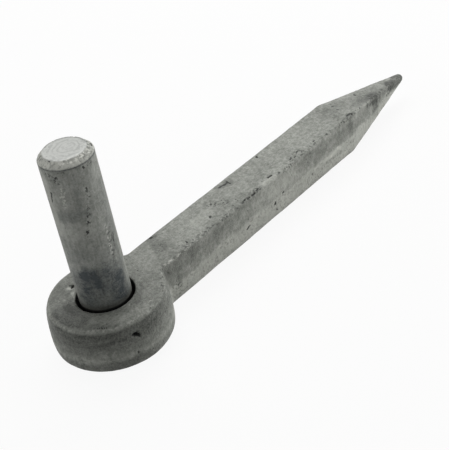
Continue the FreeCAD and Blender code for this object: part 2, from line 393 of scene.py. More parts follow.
def pits_on(points, pits):
    """The depth in mm that the pits give each point, and how dark each point is in one, up to about 3."""
    depth = np.zeros(len(points))
    inside = np.zeros(len(points))
    ragged = 1 + unevenness(points, PIT_BORDER)
    for first, last, width, deep in pits.values():
        shape = along(points, seen_at(first), seen_at(last), width) * ragged
        depth = np.maximum(depth, deep * shape)
        inside = np.maximum(inside, (1 + deep) * shape)
    return depth, inside


def strips_on(points, strips):
    """How far each point lies in one of the strips, 0 to 1."""
    inside = np.zeros(len(points))
    for first, last, width in strips.values():
        inside = np.maximum(inside, along(points, seen_at(first), seen_at(last), width))
    return inside


def dullness_on(points, patches, raggedness, firm):
    """The summed strength of the patches at each point, with borders as ragged and as firm as given."""
    dull = np.zeros(len(points))
    spread = PATCH_SPREAD + raggedness * unevenness(points, PATCH_BORDER)
    for first, last, width, strength in patches.values():
        dull = dull + strength * along(points, seen_at(first), seen_at(last), width * spread, firm)
    return dull


def weighed(zones, strengths):
    """The sum of the named zones, each times its strength."""
    return sum(strength * zones[name] for name, strength in strengths.items())


def ride(piece, node):
    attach(piece, "root")
    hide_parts(node)


# The forging's skin, in mm: its depth under the solid, its waves, and the depths of its faults.
SPIKE_SKIN = 0.18
SPIKE_WAVES = ((24, 2.3, 0.12), (7, 8.9, 0.10), (2.6, 4.4, 0.06))
SPIKE_FAULTS = {"scattered": 0.15, "peppered": 0.25, "nicked": 0.25, "worn": 0.4}
SHOULDER_DEPTH = 0.5
SHOULDER_WAVES = ((14, 41.7, 0.25),)
# In the hole, this share of the unevenness is left out.
HOLE_SMOOTHNESS = 0.8
# Edges: the height in mm that makes a full one, and how often it is evened out with its neighbours.
EDGE_HEIGHT = 0.05
EDGE_SMOOTHING = 3
EDGE_WEAR = 0.3
RIDGE_WEAR = 0.7
WEAR_LEVEL = 0.2
WEAR_WAVES = ((12, 33.3, 0.6),)
# Spots: a wavelength in mm, a place in the noise, and the noise where they start and where they are full.
PEPPER_SPOTS = (1.2, 11.9, -0.1, 0.3)
SCATTER_SPOTS = (1.7, 21.7, 0.55, 0.7)
NICK_SPOTS = (2.2, 17.9, 0.1, 0.45)
FLECK_SPOTS = (6, 23.9, -0.35, 0.15)

# Zones of the forging: where each starts and where it is full.
# Along X, in mm.
EYE_ALONG = (18.0, 12.0)
EYE_TONE_ALONG = (55.0, -20.0)
FAR_EDGE_ALONG = (20.0, 30.0)
BRIGHT_ALONG = (0.0, 20.0)
# Inward from the eye's rim, and outward from the pin, in mm.
SHOULDER_INSET = (4.5, 1.2)
RIM_INSET = (3.2, 2.0)
HOLE_GAP = (1.8, 1.5)
# Height from the eye's top, in mm.
SHOULDER_HEIGHT = (-3.0, 0.0)
# The rim is painted pale as a painted highlight, and the front of the wall under it is painted dark as
# painted shade.
RIM_HEIGHT = (-1.7, -0.9)
UNDER_RIM_HEIGHT = (-0.8, -1.8)
UNDER_RIM_END = (-10.0, -5.0)
HOLE_HEIGHT = (-0.4, -1.2)
# Height above the underside, in mm, with waves in the line.
FOOT_HEIGHT = (6.6, 4.8)
FOOT_WAVES = ((9, 61.1, 1.4), (2, 13.1, 0.5))
# Where the walls are painted paler low down, as painted bounce light from the floor, up to a wavy line on
# the shank.
EYE_BOUNCE_LIT_HEIGHT = (10.0, 6.0)
BOUNCE_LINE_HEIGHT = (10.4, 8.8)
BOUNCE_LINE_WAVES = ((9, 51.3, 1.8),)
BOUNCE_LINE_RIPPLES = ((2, 13.1, 0.6),)
BOUNCE_LIT_STRENGTH = 0.9
SHANK_DIRECTION = np.array((1, 0, 0))
# Share of the surface's normal in one direction. Near is the side that the photograph shows, along -Y.
RIDGE_TOWARD_NEAR = (0.0, 0.4)
RIDGE_UPWARD = (0.0, 0.4)
EDGE_TOWARD_FAR = (0.0, 0.3)
FRONT_FACING = (0.0, 0.5)
# Surfaces turned under are painted darker as painted shade.
TURNED_UNDER = (-0.3, -0.6)
NOT_FLAT_BELOW = (-0.95, -0.8)
# The level direction that the front of the eye faces.
EYE_FRONT = np.array((-0.566, -0.824))

# How dull the forging's zones are: below 0 is pale. Then how its marks show.
# Among these, the band under the rim and the surfaces turned under are painted shade, the pale rim is a
# painted highlight, and the pale low walls are painted bounce light from the floor.
EYE_DULLNESS = {"all": 0.57, "wall": -0.06, "under_rim": 0.42, "foot": 0.14, "rim": -0.36}
SPIKE_DULLNESS = {"bounce_lit": -0.42, "wall": -0.05, "far_edge": 0.5, "turned_under": 0.45}
SPIKE_RAGGEDNESS = 0.5
SPIKE_FIRMNESS = 2.0
SCATTER_DARKNESS = 0.5
# The bore's wall down the hole is painted dark as painted shade.
HOLE_DARKNESS = 2.3
FLECK_STRENGTH = 0.4
BRIGHT_STRENGTH = 0.45
BRIGHT_GAIN = 0.35


def edge_mask(mesh, points, normals):
    """0 on flat ground, rising to 1 on outer edges."""
    height = ((points - neighbour_mean(mesh, points)) * normals).sum(axis=1)
    for turn in range(EDGE_SMOOTHING):
        height = neighbour_mean(mesh, height)
    return fade(height, 0, EDGE_HEIGHT)


def spike_zones(mesh, points, normals):
    """The forging's zones and faults, each 0 to 1 at every point."""
    along_shank = points[:, 0]
    height = points[:, 2]
    above_ground = height - UNDERSIDE
    from_pin = np.hypot(points[:, 0], points[:, 1])
    inset = EYE_RADIUS - from_pin
    toward_near = -normals[:, 1]
    toward_far = normals[:, 1]
    upward = normals[:, 2]

    edge = edge_mask(mesh, points, normals)
    ridge = edge * fade(toward_near, *RIDGE_TOWARD_NEAR) * fade(upward, *RIDGE_UPWARD)
    wear = np.clip(WEAR_LEVEL + unevenness(points, WEAR_WAVES), 0, None)
    pitted = strips_on(points, SPIKE_PITTED)
    eye = fade(along_shank, *EYE_ALONG)
    wall = 1 - np.abs(upward)
    front = fade(np.maximum(toward_near, normals[:, :2] @ EYE_FRONT), *FRONT_FACING)
    hole = fade(from_pin - PIN_RADIUS, *HOLE_GAP)
    foot_waves = unevenness(points, FOOT_WAVES)
    foot = eye * fade(above_ground - foot_waves, *FOOT_HEIGHT) * fade(upward, *NOT_FLAT_BELOW)
    bounce_line_waves = unevenness(points * SHANK_DIRECTION, BOUNCE_LINE_WAVES) + unevenness(points, BOUNCE_LINE_RIPPLES)
    # Painted bounce light: the low walls are painted paler.
    bounce_lit_eye = eye * fade(above_ground, *EYE_BOUNCE_LIT_HEIGHT) * (1 - foot)
    bounce_lit_shank = (1 - eye) * BOUNCE_LIT_STRENGTH * fade(above_ground - bounce_line_waves, *BOUNCE_LINE_HEIGHT)
    bounce_lit = wall * (bounce_lit_eye + bounce_lit_shank)
    return {
        "all": 1,
        "edge": edge,
        "worn": (EDGE_WEAR * edge + RIDGE_WEAR * ridge) * wear,
        "nicked": ridge * spots(points, *NICK_SPOTS),
        "pitted": pitted,
        "peppered": pitted * spots(points, *PEPPER_SPOTS),
        "scattered": spots(points, *SCATTER_SPOTS),
        "toward_eye": fade(along_shank, *EYE_TONE_ALONG),
        "shoulder": eye * fade(inset, *SHOULDER_INSET) * fade(height, *SHOULDER_HEIGHT),
        # Painted highlight: the eye's rounded rim is painted paler.
        "rim": eye * fade(inset, *RIM_INSET) * fade(height, *RIM_HEIGHT),
        "wall": wall,
        # Painted shade: the front of the wall just under the rim is painted darker.
        "under_rim": wall * front * fade(height, *UNDER_RIM_END) * fade(height, *UNDER_RIM_HEIGHT),
        "foot": foot,
        "bounce_lit": bounce_lit,
        "flecked": bounce_lit * (1 - eye) * spots(points, *FLECK_SPOTS),
        "far_edge": edge * fade(toward_far, *EDGE_TOWARD_FAR) * fade(along_shank, *FAR_EDGE_ALONG),
        # Painted shade: surfaces that face downward are painted darker.
        "turned_under": fade(upward, *TURNED_UNDER),
        "hole": hole,
        # Painted shade: the bore's wall down the hole.
        "down_the_hole": hole * fade(height, *HOLE_HEIGHT),
    }


def make_spike():
    """The forging: a hammered, slightly wavy skin, pits, nicked edges and the marks of the photograph."""
    piece = dense_copy(SPIKE_NODE, "forged_spike", SPIKE_SPACING)
    mesh = piece.data
    points, normals = points_of(mesh), normals_of(mesh)
    zones = spike_zones(mesh, points, normals)
    depth, inside = pits_on(points, SPIKE_PITS)
    sink = SPIKE_SKIN + unevenness(points, SPIKE_WAVES) + weighed(zones, SPIKE_FAULTS) + depth
    sink = sink + zones["shoulder"] * (SHOULDER_DEPTH + unevenness(points, SHOULDER_WAVES))
    press(piece, SPIKE_NODE, points, normals, sink * (1 - HOLE_SMOOTHNESS * zones["hole"]))

    # The eye is duller than the shank, most of all in the painted shade under its rim, whose paleness is a
    # painted highlight, and at its foot.
    # The sides are painted paler low down as painted bounce light from the floor, and on the shank a wavy
    # line parts the two tones.
    # A thin dull line follows the shank's far edges, and the edges that turn under are painted darker as
    # painted shade.
    dull = dullness_on(points, SPIKE_PATCHES, SPIKE_RAGGEDNESS, SPIKE_FIRMNESS)
    dull = dull + zones["toward_eye"] * weighed(zones, EYE_DULLNESS) + weighed(zones, SPIKE_DULLNESS)
    bright_strength = BRIGHT_STRENGTH + BRIGHT_GAIN * fade(points[:, 0], *BRIGHT_ALONG)
    flecks = FLECK_STRENGTH * zones["flecked"]
    set_attributes(mesh, {
        "dull": dull,
        # The hole's share here is painted shade down the hole, carried with the pits.
        "pits": inside + SCATTER_DARKNESS * zones["scattered"] + HOLE_DARKNESS * zones["down_the_hole"],
        "pitted": np.maximum(zones["pitted"], flecks),
        "bright": np.maximum(strips_on(points, SPIKE_BRIGHT) * bright_strength, flecks),
        "edge": zones["edge"] * (1 - zones["far_edge"]),
    })
    ride(piece, SPIKE_NODE)
    return piece


# The pin's skin, in mm. Runs of zinc are drawn out along its height.
PIN_SKIN = 0.06
PIN_WAVES = ((9, 3.9, 0.03), (2.2, 14.3, 0.02))
RUN_STRETCH = np.array((1, 1, 0.12))
RUN_NOISE = (2.4, 6.1)
RUN_DEPTH = 0.018
CROWN_SKIN = 0.05
CHAMFER_ROUGHNESS = 0.16
CHAMFER_SPOTS = (1.3, 9.7, -0.05, 0.45)
PIN_PEPPER_DEPTH = 0.1
PIN_PEPPER_SPOTS = (1.0, 31.1, -0.1, 0.3)

# Zones of the pin: where each starts and where it is full.
# Depth below the top, in mm.
CROWN_DEPTH = (0.35, 0.05)
CHAMFER_DEPTH = (2.35, 2.1)
RIM_BEHIND_DEPTH = (0.6, 0.3)
# Share of the surface's normal that points up.
CROWN_UPWARD = (0.75, 0.95)
# Painted shade: the far side of the top's rim is painted darker.
# The far side of the top's rim: inward from the pin's wall, and the sum of X and Y, in mm.
RIM_BEHIND_INSET = (3.3, 2.7)
RIM_BEHIND_PLACE = (0.0, 6.0)
RIM_BEHIND_SHARE = 0.9
# Lines round the head: the depth of the middle below the top, and the reach.
CHAMFER_FOOT_LINE = (2.6, 0.45)
CHAMFER_LIP = (2.0, 0.4)
FOOT_LINE_LEVEL = 0.8
FOOT_LINE_WAVES = ((4, 19.1, 0.6),)
# Height from the eye's top, in mm.
TAIL_HEIGHT = (-0.2, -0.7)
TAIL_END = (-17.5, -15.5)
PIN_FOOT_HEIGHT = (7.0, 1.0)
# Where the pin is painted dark olive as painted shade near the eye's top.
OLIVE_HEIGHT = (2.4, 0.4)
OLIVE_END = (-0.6, -0.2)

# How dull the pin's zones are: below 0 is pale. Then how its marks show.
# Among these, the far side of the top's rim is painted shade.
PIN_DULLNESS = {"foot": 0.42, "foot_line": 0.9, "chamfer": -0.42, "lip": -0.3, "rim_behind": 0.8}
PIN_RAGGEDNESS = 0.3
PIN_FIRMNESS = 1.2
RUN_STREAKS = 0.35
# The pin's tail down in the hole is painted black as painted shade.
TAIL_DARKNESS = 2.3


def pin_zones(points, normals):
    """The pin's zones, each 0 to about 1 at every point."""
    height = points[:, 2]
    below_top = PIN_TOP - height
    inset = PIN_RADIUS - np.hypot(points[:, 0], points[:, 1])
    rim_behind = fade(inset, *RIM_BEHIND_INSET) * fade(points[:, 0] + points[:, 1], *RIM_BEHIND_PLACE)
    crown = fade(below_top, *CROWN_DEPTH) * fade(normals[:, 2], *CROWN_UPWARD)
    crown = crown * (1 - RIM_BEHIND_SHARE * rim_behind)
    foot_line = band(below_top, *CHAMFER_FOOT_LINE) * (FOOT_LINE_LEVEL + unevenness(points, FOOT_LINE_WAVES))
    return {
        "crown": crown,
        "chamfer": fade(below_top, *CHAMFER_DEPTH) * (1 - crown),
        "foot_line": foot_line,
        "lip": band(below_top, *CHAMFER_LIP),
        # Painted shade on the far side of the top's rim.
        "rim_behind": rim_behind * fade(below_top, *RIM_BEHIND_DEPTH),
        "foot": fade(height, *PIN_FOOT_HEIGHT),
        "olive": fade(height, *OLIVE_HEIGHT) * fade(height, *OLIVE_END),
        "tail": fade(height, *TAIL_HEIGHT) * fade(height, *TAIL_END),
    }


def make_pin():
    """The pin: a drawn bar with faint upright runs of zinc, a pitted pale chamfer and a paler top."""
    piece = dense_copy(PIN_NODE, "round_pin", PIN_SPACING)
    mesh = piece.data
    points, normals = points_of(mesh), normals_of(mesh)
    zones = pin_zones(points, normals)
    runs = field(points * RUN_STRETCH, *RUN_NOISE)
    pitted = strips_on(points, PIN_PITTED)
    depth, inside = pits_on(points, PIN_PITS)
    skin = PIN_SKIN + unevenness(points, PIN_WAVES) + RUN_DEPTH * runs
    sink = skin * (1 - zones["crown"]) + CROWN_SKIN * zones["crown"] + depth
    sink = sink + CHAMFER_ROUGHNESS * zones["chamfer"] * spots(points, *CHAMFER_SPOTS)
    sink = sink + PIN_PEPPER_DEPTH * pitted * spots(points, *PIN_PEPPER_SPOTS)
    press(piece, PIN_NODE, points, normals, sink)

    # A dark line follows the foot of the chamfer, the foot is painted dark olive as painted shade just above
    # the eye's top, and the tail is painted black down in the hole as painted shade.
    streaked = 1 + RUN_STREAKS * runs
    dull = dullness_on(points, PIN_PATCHES, PIN_RAGGEDNESS, PIN_FIRMNESS) * streaked
    set_attributes(mesh, {
        "dull": dull + weighed(zones, PIN_DULLNESS),
        # The tail's share here is painted shade down in the hole, carried with the pits.
        "pits": inside + TAIL_DARKNESS * zones["tail"],
        "pitted": pitted,
        "bright": strips_on(points, PIN_BRIGHT),
        "edge": zones["chamfer"],
        "crown": zones["crown"],
        # Painted shade: the dark olive band above the eye's top.
        "olive": zones["olive"],
        # Painted highlight: the white glints on the chamfer.
        "glints": strips_on(points, PIN_GLINTS),
    })
    ride(piece, PIN_NODE)
    return piece


# The weld's skin, in mm, and the share of the normal downward where its face starts and is full.
WELD_SKIN = 0.03
WELD_FACE_DEPTH = 0.14
WELD_WAVES = ((1.2, 7.7, 0.06),)
WELD_FACE = (-0.5, -0.8)
# The weld's ripples: their number round the ring, their depth in mm, and how they bow and waver.
RIPPLES_ROUND = 44
RIPPLE_DEPTH = 0.11
RIPPLE_BOW = 1.4
BOW_RATE = 0.9
RIPPLE_NOISE = (3, 2.9)
RIPPLE_DULLNESS = 0.25
RIPPLE_EDGE = 0.5


def make_weld():
    """The ring of weld under the eye: its face laid in overlapping ripples."""
    piece = dense_copy(WELD_NODE, "weld_bead", WELD_SPACING)
    mesh = piece.data
    points, normals = points_of(mesh), normals_of(mesh)
    angle = np.arctan2(points[:, 1], points[:, 0])
    across = np.hypot(points[:, 0], points[:, 1])
    face = fade(normals[:, 2], *WELD_FACE)
    bow = np.cos((across - across.mean()) * BOW_RATE)
    ripple = np.sin(angle * RIPPLES_ROUND + RIPPLE_BOW * bow + field(points, *RIPPLE_NOISE))
    face_depth = WELD_FACE_DEPTH + RIPPLE_DEPTH * ripple + unevenness(points, WELD_WAVES)
    press(piece, WELD_NODE, points, normals, WELD_SKIN + face * face_depth)
    set_attributes(mesh, {
        "dull": RIPPLE_DULLNESS * face * (1 - ripple),
        "edge": RIPPLE_EDGE * face * fade(ripple, 0, 1),
    })
    ride(piece, WELD_NODE)
    return piece


def fill(tree, made, inputs):
    """Set a node's inputs. Each is a value, or another node's socket to link from."""
    for key, value in inputs.items():
        if isinstance(value, bpy.types.NodeSocket):
            tree.links.new(value, made.inputs[key])
        else:
            made.inputs[key].default_value = value


def put(tree, kind, inputs, **settings):
    """Add a shader node with its settings and inputs."""
    made = tree.nodes.new(kind)
    for word, value in settings.items():
        setattr(made, word, value)
    fill(tree, made, inputs)
    return made


# The numbers of a Mix node's sockets for colours, which share their names with its other sockets.
MIX_FACTOR = 0
MIX_FIRST = 6
MIX_SECOND = 7
MIX_RESULT = 2


def mix(tree, factor, first, second):
    """Blend two colours."""
    inputs = {MIX_FACTOR: factor, MIX_FIRST: first, MIX_SECOND: second}
    return put(tree, "ShaderNodeMix", inputs, data_type="RGBA").outputs[MIX_RESULT]


def maths(tree, operation, first, second):
    return put(tree, "ShaderNodeMath", {0: first, 1: second}, operation=operation).outputs[0]


def times(tree, first, second):
    return maths(tree, "MULTIPLY", first, second)


def plus(tree, first, second):
    return maths(tree, "ADD", first, second)


def minus(tree, first, second):
    return maths(tree, "SUBTRACT", first, second)


def clamped(tree, value):
    """A value held between 0 and 1."""
    return put(tree, "ShaderNodeClamp", {"Value": value}).outputs["Result"]


def step(tree, value, low, high):
    """A smooth step of a value: 0 at low and 1 at high."""
    inputs = {"Value": value, "From Min": low, "From Max": high}
    return put(tree, "ShaderNodeMapRange", inputs, interpolation_type="SMOOTHSTEP").outputs["Result"]


def cloud(tree, place, scale, detail, distortion=0.0):
    inputs = {"Vector": place, "Scale": scale, "Detail": detail, "Distortion": distortion}
    return put(tree, "ShaderNodeTexNoise", inputs).outputs["Fac"]


def mapped(tree, inputs):
    return put(tree, "ShaderNodeMapping", inputs).outputs["Vector"]


def attribute(tree, name):
    return put(tree, "ShaderNodeAttribute", {}, attribute_name=name).outputs["Fac"]


def place_on(tree):
    return put(tree, "ShaderNodeTexCoord", {}).outputs["Object"]


def start_group(name, inputs, outputs):
    """A new shader node group with named inputs and outputs: the tree, its inputs and its end node."""
    tree = bpy.data.node_groups.new(name, "ShaderNodeTree")
    for direction, sockets in (("INPUT", inputs), ("OUTPUT", outputs)):
        for word, kind in sockets.items():
            tree.interface.new_socket(word, in_out=direction, socket_type=kind)
    start = tree.nodes.new("NodeGroupInput")
    end = tree.nodes.new("NodeGroupOutput")
    return tree, start.outputs, end


FLOAT = "NodeSocketFloat"
COLOUR = "NodeSocketColor"
VECTOR = "NodeSocketVector"
WHITE = (1, 1, 1, 1)
EVEN = (1, 1, 1)

# The zinc's skin. Its noises have a scale, a detail and, where it isn't 0, a distortion.
# Clouds and blotches take their scale from the material, and the blotches' is this many times finer.
# A tone has the noise where it starts, the noise where it is full, and its share of the whole tone.
BLOTCH_RATIO = 4.0
CLOUD_NOISE = (5, 0.6)
BLOTCH_NOISE = (6, 0.8)
STREAK_NOISE = (900.0, 4, 0.4)
MOTTLE_NOISE = (620.0, 3)
GRAIN_NOISE = (1500.0, 2)
CLOUD_TONE = (0.36, 0.64, 0.20)
BLOTCH_TONE = (0.44, 0.58, 0.16)
STREAK_TONE = (0.36, 0.64, 0.24)
MOTTLE_TONE = (0.40, 0.60, 0.18)
GRAIN_TONE = (0.36, 0.64, 0.22)
MOTTLE_HEIGHT = 0.6
GRAIN_HEIGHT = 0.4
ROUGHEST = 0.68
TONE_SHEEN = 0.2


def make_zinc_skin():
    """Clouds of paler and darker zinc, small blotches, drawn-out streaks, a mottle and a fine grain."""
    tree, given, end = start_group("zinc_skin", {
        "Pale Tone": COLOUR,
        "Dark Tone": COLOUR,
        "Patch Scale": FLOAT,
        "Streak Stretch": VECTOR,
    }, {"Color": COLOUR, "Height": FLOAT, "Roughness": FLOAT})
    place = place_on(tree)
    stretched = mapped(tree, {"Vector": place, "Scale": given["Streak Stretch"]})
    blotch_scale = times(tree, given["Patch Scale"], BLOTCH_RATIO)
    mottle = cloud(tree, place, *MOTTLE_NOISE)
    grain = cloud(tree, place, *GRAIN_NOISE)
    layers = (
        (cloud(tree, place, given["Patch Scale"], *CLOUD_NOISE), CLOUD_TONE),
        (cloud(tree, place, blotch_scale, *BLOTCH_NOISE), BLOTCH_TONE),
        (cloud(tree, stretched, *STREAK_NOISE), STREAK_TONE),
        (mottle, MOTTLE_TONE),
        (grain, GRAIN_TONE),
    )
    tone = 0.0
    for layer, (start, full, share) in layers:
        tone = plus(tree, times(tree, step(tree, layer, start, full), share), tone)
    height = plus(tree, times(tree, mottle, MOTTLE_HEIGHT), times(tree, grain, GRAIN_HEIGHT))
    roughness = minus(tree, ROUGHEST, times(tree, tone, TONE_SHEEN))
    fill(tree, end, {
        "Color": mix(tree, tone, given["Dark Tone"], given["Pale Tone"]),
        "Height": height,
        "Roughness": roughness,
    })
    return tree


# Wear, stains, and painted light and shade. Dull patches are uneven by wiped noise and by fine grains, which
# lose strength as the patch gets duller.
WIPE_NOISE = (800.0, 4)
WIPE_SHARE = 0.9
FINE_NOISE = (1600.0, 3)
FINE_TONE = (0.34, 0.66)
FINE_SHARE = 0.15
STAIN_LEVEL = 0.475
GRAIN_ROOM = 1.25
GRAIN_MIDDLE = 0.5
GRAIN_STRENGTH = 2.0
# Pale flecks lie where the noise is high, and dark flecks where it is low.
FLECK_NOISE = (1000.0, 3)
PALE_FLECK = (0.5, 0.6)
DARK_FLECK = (0.38, 0.46)
PALE_FLECK_SHARE = 0.7
DARK_FLECK_SHARE = 0.8
DARK_EDGE_SHARE = 0.55
# Pits have ragged borders, and the deep ones are black; the painted shade down the hole takes the same
# black.
PIT_RAGGEDNESS = 1.4
PIT_LEVEL = 0.3
PIT_BORDERS = (0.2, 0.8)
PIT_DEEPS = (1.5, 2.1)
PIT_AND_SHADE_TONE = (0.034, 0.036, 0.032, 1)
DEEP_PIT_AND_SHADE_TONE = (0.003, 0.003, 0.003, 1)


def make_wear():
    """Dull and pale patches, some of them painted shade and painted light, fine pale and dark flecks, and
    pits, where the mesh says that they are.
    """
    tree, given, end = start_group("patches_and_pits", {
        "Color": COLOUR,
        "Dull Tone": COLOUR,
        "Pale Tone": COLOUR,
        "Pit And Shade Tone": COLOUR,
        "Edge Share": FLOAT,
        "Wipe Stretch": VECTOR,
    }, {"Color": COLOUR})
    place = place_on(tree)
    fleck = cloud(tree, place, *FLECK_NOISE)
    fine = step(tree, cloud(tree, place, *FINE_NOISE), *FINE_TONE)

    stretched = mapped(tree, {"Vector": place, "Scale": given["Wipe Stretch"]})
    wiped = times(tree, cloud(tree, stretched, *WIPE_NOISE), WIPE_SHARE)
    uneven = plus(tree, plus(tree, times(tree, fine, FINE_SHARE), STAIN_LEVEL), wiped)
    dull = times(tree, attribute(tree, "dull"), uneven)
    room = clamped(tree, minus(tree, GRAIN_ROOM, attribute(tree, "dull")))
    grains = times(tree, times(tree, minus(tree, GRAIN_MIDDLE, fine), room), GRAIN_STRENGTH)
    dull_tone = put(tree, "ShaderNodeVectorMath", {
        0: given["Dull Tone"],
        "Scale": plus(tree, grains, 1.0),
    }, operation="SCALE").outputs["Vector"]
    colour = mix(tree, clamped(tree, dull), given["Color"], dull_tone)
    colour = mix(tree, clamped(tree, times(tree, dull, -1.0)), colour, given["Pale Tone"])

    edge = times(tree, attribute(tree, "edge"), given["Edge Share"])
    pale_share = clamped(tree, plus(tree, attribute(tree, "bright"), edge))
    pale_flecks = times(tree, pale_share, step(tree, fleck, *PALE_FLECK))
    colour = mix(tree, times(tree, pale_flecks, PALE_FLECK_SHARE), colour, given["Pale Tone"])
    dark_share = clamped(tree, plus(tree, attribute(tree, "pitted"), times(tree, edge, DARK_EDGE_SHARE)))
    dark_flecks = times(tree, dark_share, minus(tree, 1.0, step(tree, fleck, *DARK_FLECK)))
    colour = mix(tree, times(tree, dark_flecks, DARK_FLECK_SHARE), colour, given["Pit And Shade Tone"])

    ragged = plus(tree, times(tree, fleck, PIT_RAGGEDNESS), PIT_LEVEL)
    pits = step(tree, times(tree, attribute(tree, "pits"), ragged), *PIT_BORDERS)
    deep = step(tree, attribute(tree, "pits"), *PIT_DEEPS)
    colour = mix(tree, pits, colour, mix(tree, deep, given["Pit And Shade Tone"], DEEP_PIT_AND_SHADE_TONE))
    fill(tree, end, {"Color": colour})
    return tree


# Specks: the noise that gathers them, and where it starts and is full.
GATHER_NOISE = (90.0, 3)
GATHERED = (0.48, 0.66)
SPECK_SIZE = 0.2
SPECK_SHARE = 0.75


def make_specks():
    """A scatter of small dark pits, gathered in places."""
    tree, given, end = start_group("pit_specks", {"Scale": FLOAT, "Size": FLOAT}, {"Mask": FLOAT})
    place = place_on(tree)
    inputs = {"Vector": place, "Scale": given["Scale"]}
    distance = put(tree, "ShaderNodeTexVoronoi", inputs).outputs["Distance"]
    specks = minus(tree, 1.0, step(tree, distance, 0.0, given["Size"]))
    gathered = step(tree, cloud(tree, place, *GATHER_NOISE), *GATHERED)
    fill(tree, end, {"Mask": times(tree, specks, gathered)})
    return tree


ZINC_SKIN = make_zinc_skin()
WEAR = make_wear()
SPECKS = make_specks()


def place_group(tree, group, inputs):
    return put(tree, "ShaderNodeGroup", inputs, node_tree=group).outputs


def start_material(name):
    material = bpy.data.materials.new(name)
    material.use_nodes = True
    tree = material.node_tree
    tree.nodes.clear()
    return material, tree


# The pale tone serves bright zinc and also the painted highlights and painted bounce light.
PALE_ZINC_AND_PAINTED_LIGHT = (0.52, 0.525, 0.48, 1)
# Stains and the painted light and shade are wiped sideways: their unevenness is drawn out across the height.
WIPE_STRETCH = (0.15, 0.15, 1)
ZINC_METALLIC = 0.05
ZINC_SPECULAR = 0.25
BUMP_DISTANCE = 0.4 * MM


def zinc_material(name, pale, dark, dull, patch_scale, stretch, specks_scale, edge_share, bump, extra=None):
    """Hot-dip zinc with its stains. Extra adds to the colour what one piece alone has."""
    material, tree = start_material(name)
    skin = place_group(tree, ZINC_SKIN, {
        "Pale Tone": pale,
        "Dark Tone": dark,
        "Patch Scale": patch_scale,
        "Streak Stretch": stretch,
    })
    specks = place_group(tree, SPECKS, {"Scale": specks_scale, "Size": SPECK_SIZE})["Mask"]
    colour = place_group(tree, WEAR, {
        "Color": mix(tree, times(tree, specks, SPECK_SHARE), skin["Color"], PIT_AND_SHADE_TONE),
        "Dull Tone": dull,
        "Pale Tone": PALE_ZINC_AND_PAINTED_LIGHT,
        "Pit And Shade Tone": PIT_AND_SHADE_TONE,
        "Edge Share": edge_share,
        "Wipe Stretch": WIPE_STRETCH,
    })["Color"]
    roughness = skin["Roughness"]
    if extra:
        colour, roughness = extra(tree, colour, roughness)
    normal = put(tree, "ShaderNodeBump", {
        "Height": minus(tree, skin["Height"], specks),
        "Strength": bump,
        "Distance": BUMP_DISTANCE,
    })
    surface = put(tree, "ShaderNodeBsdfPrincipled", {
        "Base Color": colour,
        "Roughness": roughness,
        "Metallic": ZINC_METALLIC,
        "Specular IOR Level": ZINC_SPECULAR,
        "Normal": normal.outputs["Normal"],
    })
    put(tree, "ShaderNodeOutputMaterial", {"Surface": surface.outputs["BSDF"]})
    return material


# The pin's top: swirls left by the cut bar, scuffs, and a smooth cover of zinc over some of the swirls.
SWIRL_CENTRE = (-1.5 * MM, 1.0 * MM, 0)
SWIRL_PATTERN = {"Scale": 170.0, "Distortion": 7.0, "Detail": 4.0, "Detail Scale": 1.5}
SWIRL_TONE = (0.05, 0.5)
SCUFF_NOISE = (900.0, 3)
SCUFF_TONE = (0.28, 0.5)
COVER_NOISE = (160.0, 2)
COVER_TONE = (0.4, 0.6)
# The top's pale tones are partly the cut face's own paleness and partly a painted reflection of the light
# behind it.
TOP_DARK = (0.44, 0.45, 0.43, 1)
TOP_PALE = (0.57, 0.58, 0.555, 1)
TOP_SHARE = 0.85
TOP_SHEEN = 0.12
# The painted highlight line round the top's edge: its inset from the pin's wall in mm,
# and how far from its middle it starts to fade and ends, in metres.
RIM_LINE_INSET = 2.8
RIM_LINE_WIDTH = (0.2 * MM, 0.5 * MM)
RIM_LINE_SCUFFS = (0.3, 0.5)
RIM_LINE_TONE = (0.70, 0.71, 0.68, 1)
RIM_LINE_SHARE = 0.4
# The painted glints: the scuff noise that breaks them up, their tone and their share.
GLINT_SCUFFS = (0.52, 0.58)
GLINT_TONE = (0.80, 0.80, 0.74, 1)
GLINT_SHARE = 0.9
# The olive tone is painted shade on the pin just above the eye's top.
OLIVE_TONE = (0.045, 0.043, 0.035, 1)
OLIVE_SHARE = 0.6


def pin_top(tree, place, scuffs):
    """The colour of the pin's top, with faint swirls."""
    off_centre = mapped(tree, {"Vector": place, "Location": SWIRL_CENTRE})
    inputs = {"Vector": off_centre, **SWIRL_PATTERN}
    swirls = put(tree, "ShaderNodeTexWave", inputs, wave_type="RINGS", rings_direction="Z").outputs["Fac"]
    cover = step(tree, cloud(tree, place, *COVER_NOISE), *COVER_TONE)
    rings = maths(tree, "MAXIMUM", step(tree, swirls, *SWIRL_TONE), cover)
    return mix(tree, times(tree, rings, step(tree, scuffs, *SCUFF_TONE)), TOP_DARK, TOP_PALE)


def rim_line(tree, place, scuffs):
    """A thin painted highlight line round the edge of the pin's top, broken up by scuff noise, 0 to 1."""
    axes = put(tree, "ShaderNodeSeparateXYZ", {"Vector": place}).outputs
    level = put(tree, "ShaderNodeCombineXYZ", {"X": axes["X"], "Y": axes["Y"]}).outputs["Vector"]
    from_axis = put(tree, "ShaderNodeVectorMath", {0: level}, operation="LENGTH").outputs["Value"]
    off_line = minus(tree, from_axis, (PIN_RADIUS - RIM_LINE_INSET) * MM)
    off_line = put(tree, "ShaderNodeMath", {0: off_line}, operation="ABSOLUTE").outputs[0]
    line = minus(tree, 1.0, step(tree, off_line, *RIM_LINE_WIDTH))
    return times(tree, line, step(tree, scuffs, *RIM_LINE_SCUFFS))


